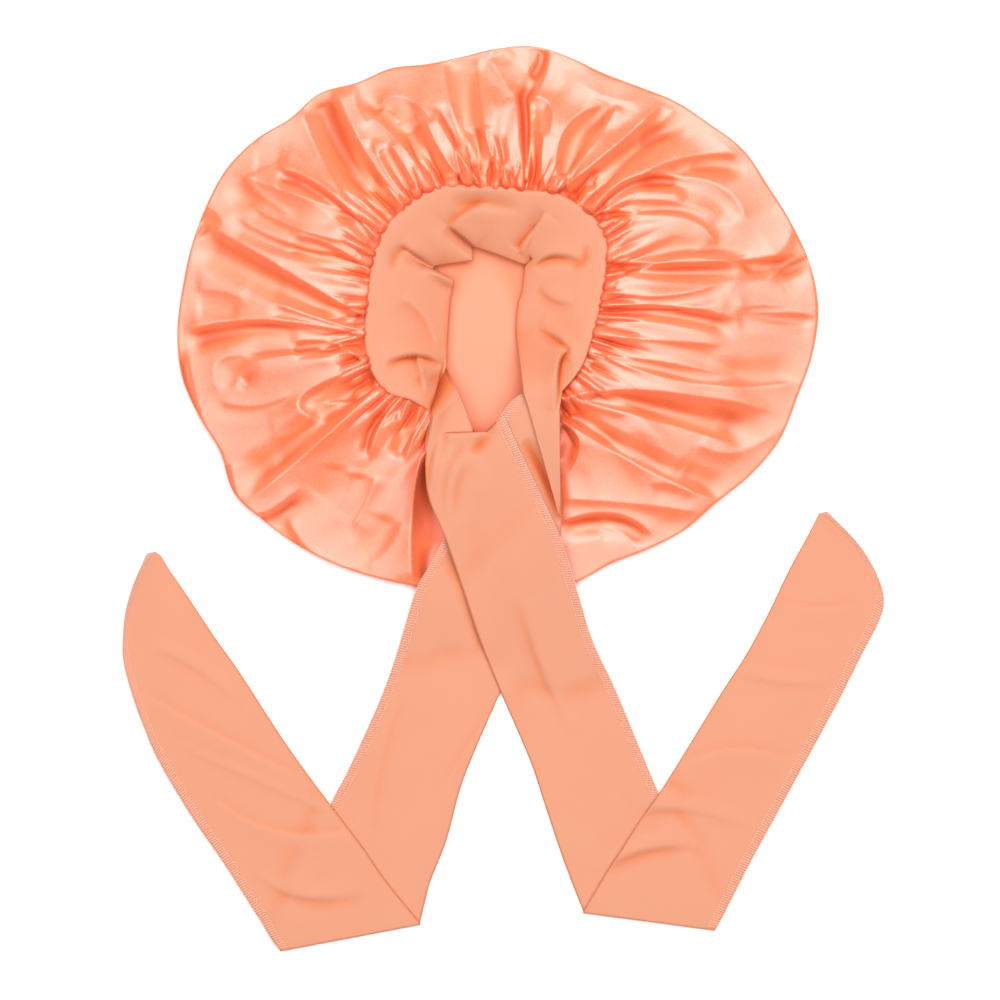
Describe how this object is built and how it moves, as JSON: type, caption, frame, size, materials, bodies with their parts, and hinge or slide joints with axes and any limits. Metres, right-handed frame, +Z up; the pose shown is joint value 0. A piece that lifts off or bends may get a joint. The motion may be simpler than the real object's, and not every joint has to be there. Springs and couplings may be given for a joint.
{
  "type": "satin bonnet with jersey band and tie strings",
  "caption": "Satin sleep bonnet lying flat and open: a round gathered crown on a jersey head band that runs out into long ties.",
  "frame": {"origin": "on the surface that the bonnet lies on, under the middle of the whole bonnet with its ties", "axes": "+Z up out of the head opening, +Y from the ties to the back of the crown, +X to the right as the opening is looked into"},
  "size_m": [0.456, 0.5434, 0.0393],
  "materials": {
    "satin": "glossy salmon satin, matte on the inside",
    "jersey": "matte salmon stretch jersey with an overlocked edge"
  },
  "bodies": {
    "root": {"crown_underside": "satin", "crown_right": "satin", "crown_back": "satin", "crown_left": "satin", "crown_front": "satin", "head_band": "jersey", "left_tie": "jersey", "right_tie": "jersey"}
  },
  "joints": []
}
